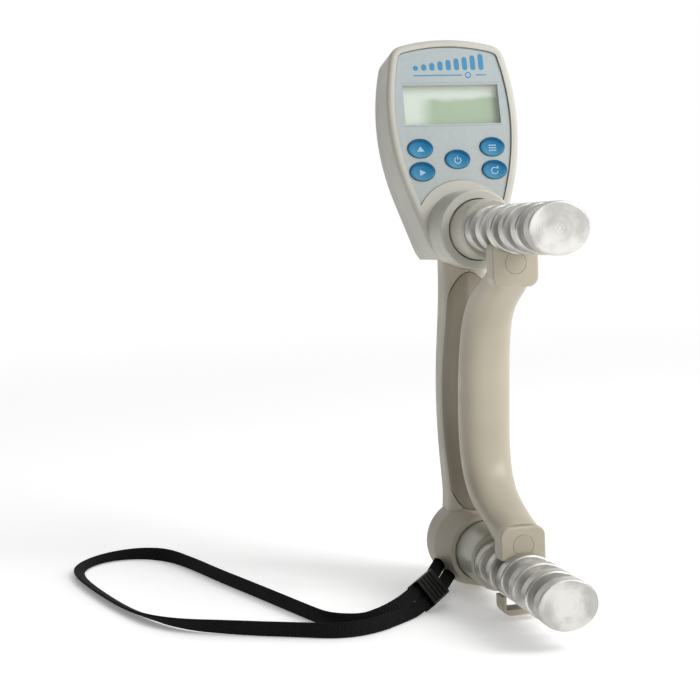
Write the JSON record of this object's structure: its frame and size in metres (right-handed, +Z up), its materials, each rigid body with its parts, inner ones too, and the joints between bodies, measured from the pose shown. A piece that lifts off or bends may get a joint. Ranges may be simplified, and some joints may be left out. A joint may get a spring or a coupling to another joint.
{
  "type": "hand dynamometer",
  "caption": "Hand grip strength gauge with a tilted digital head, two grooved posts, a bowed adjustable handle, a fixed rear grip and a looped wrist strap",
  "frame": {"origin": "centre of the footprint at the foot of the lower boss, measured without the strap", "axes": "+X to the reader's right, +Y from the post tips to the back of the head, +Z up"},
  "size_m": [0.1947, 0.2097, 0.232],
  "materials": {
    "bezel": "fine satin",
    "bezel_back": "fine texture",
    "faceplate": "printed overlay",
    "pane": "clear",
    "lcd": "grey-green display",
    "key": "satin",
    "mat": "matt",
    "board": "solder mask",
    "chip": "moulded",
    "steel": "plated",
    "cell_wrap": "printed wrap",
    "post": "turned and polished",
    "bush": "gloss",
    "beam": "milled",
    "gauge": "film",
    "grip": "fine texture",
    "insert": "satin",
    "handle": "satin",
    "cap": "satin",
    "strap": "woven",
    "slider": "ribbed"
  },
  "bodies": {
    "frame": {"head_front_housing": "bezel", "head_rear_housing": "bezel_back", "faceplate": "faceplate", "lcd_window": "pane", "lcd_cell": "lcd", "keypad_mat": "mat", "main_board": "board", "board_chip": "chip", "head_screws": "steel", "battery_left": "cell_wrap", "battery_right": "cell_wrap", "battery_contacts": "steel", "upper_post": "post", "lower_post": "post", "upper_bush": "bush", "lower_bush": "bush", "upper_post_screw": "steel", "lower_post_screw": "steel", "load_beam": "beam", "strain_gauge": "gauge", "grip_left_shell": "grip", "grip_right_shell": "grip", "grip_front_insert": "insert", "grip_screws": "steel", "wrist_strap": "strap", "strap_slider": "slider", "strap_pin": "steel"},
    "handle": {"handle": "handle", "handle_upper_cap": "cap", "handle_lower_cap": "cap"},
    "battery_door": {"battery_door": "bezel_back"},
    "key_upper_left": {"key_upper_left": "key"},
    "key_lower_left": {"key_lower_left": "key"},
    "key_power": {"key_power": "key"},
    "key_upper_right": {"key_upper_right": "key"},
    "key_lower_right": {"key_lower_right": "key"}
  },
  "joints": [
    {"name": "handle_swing", "type": "hinge", "parent": "frame", "child": "handle", "pos_m": [0, -0.02408, 0.1514], "axis": [0, -1, 0], "range_deg": [0, 40]},
    {"name": "battery_door_hinge", "type": "hinge", "parent": "frame", "child": "battery_door", "pos_m": [0, 0.05875, 0.16895], "axis": [-1, 0, 0], "range_deg": [0, 90]},
    {"name": "key_upper_left_press", "type": "slide", "parent": "frame", "child": "key_upper_left", "axis": [0, 0.9776, -0.2105], "range_m": [0, 0.0007], "stiffness_N_per_m": 1800},
    {"name": "key_lower_left_press", "type": "slide", "parent": "frame", "child": "key_lower_left", "axis": [0, 0.9776, -0.2105], "range_m": [0, 0.0007], "stiffness_N_per_m": 1800},
    {"name": "key_power_press", "type": "slide", "parent": "frame", "child": "key_power", "axis": [0, 0.9776, -0.2105], "range_m": [0, 0.0007], "stiffness_N_per_m": 1800},
    {"name": "key_upper_right_press", "type": "slide", "parent": "frame", "child": "key_upper_right", "axis": [0, 0.9776, -0.2105], "range_m": [0, 0.0007], "stiffness_N_per_m": 1800},
    {"name": "key_lower_right_press", "type": "slide", "parent": "frame", "child": "key_lower_right", "axis": [0, 0.9776, -0.2105], "range_m": [0, 0.0007], "stiffness_N_per_m": 1800}
  ]
}
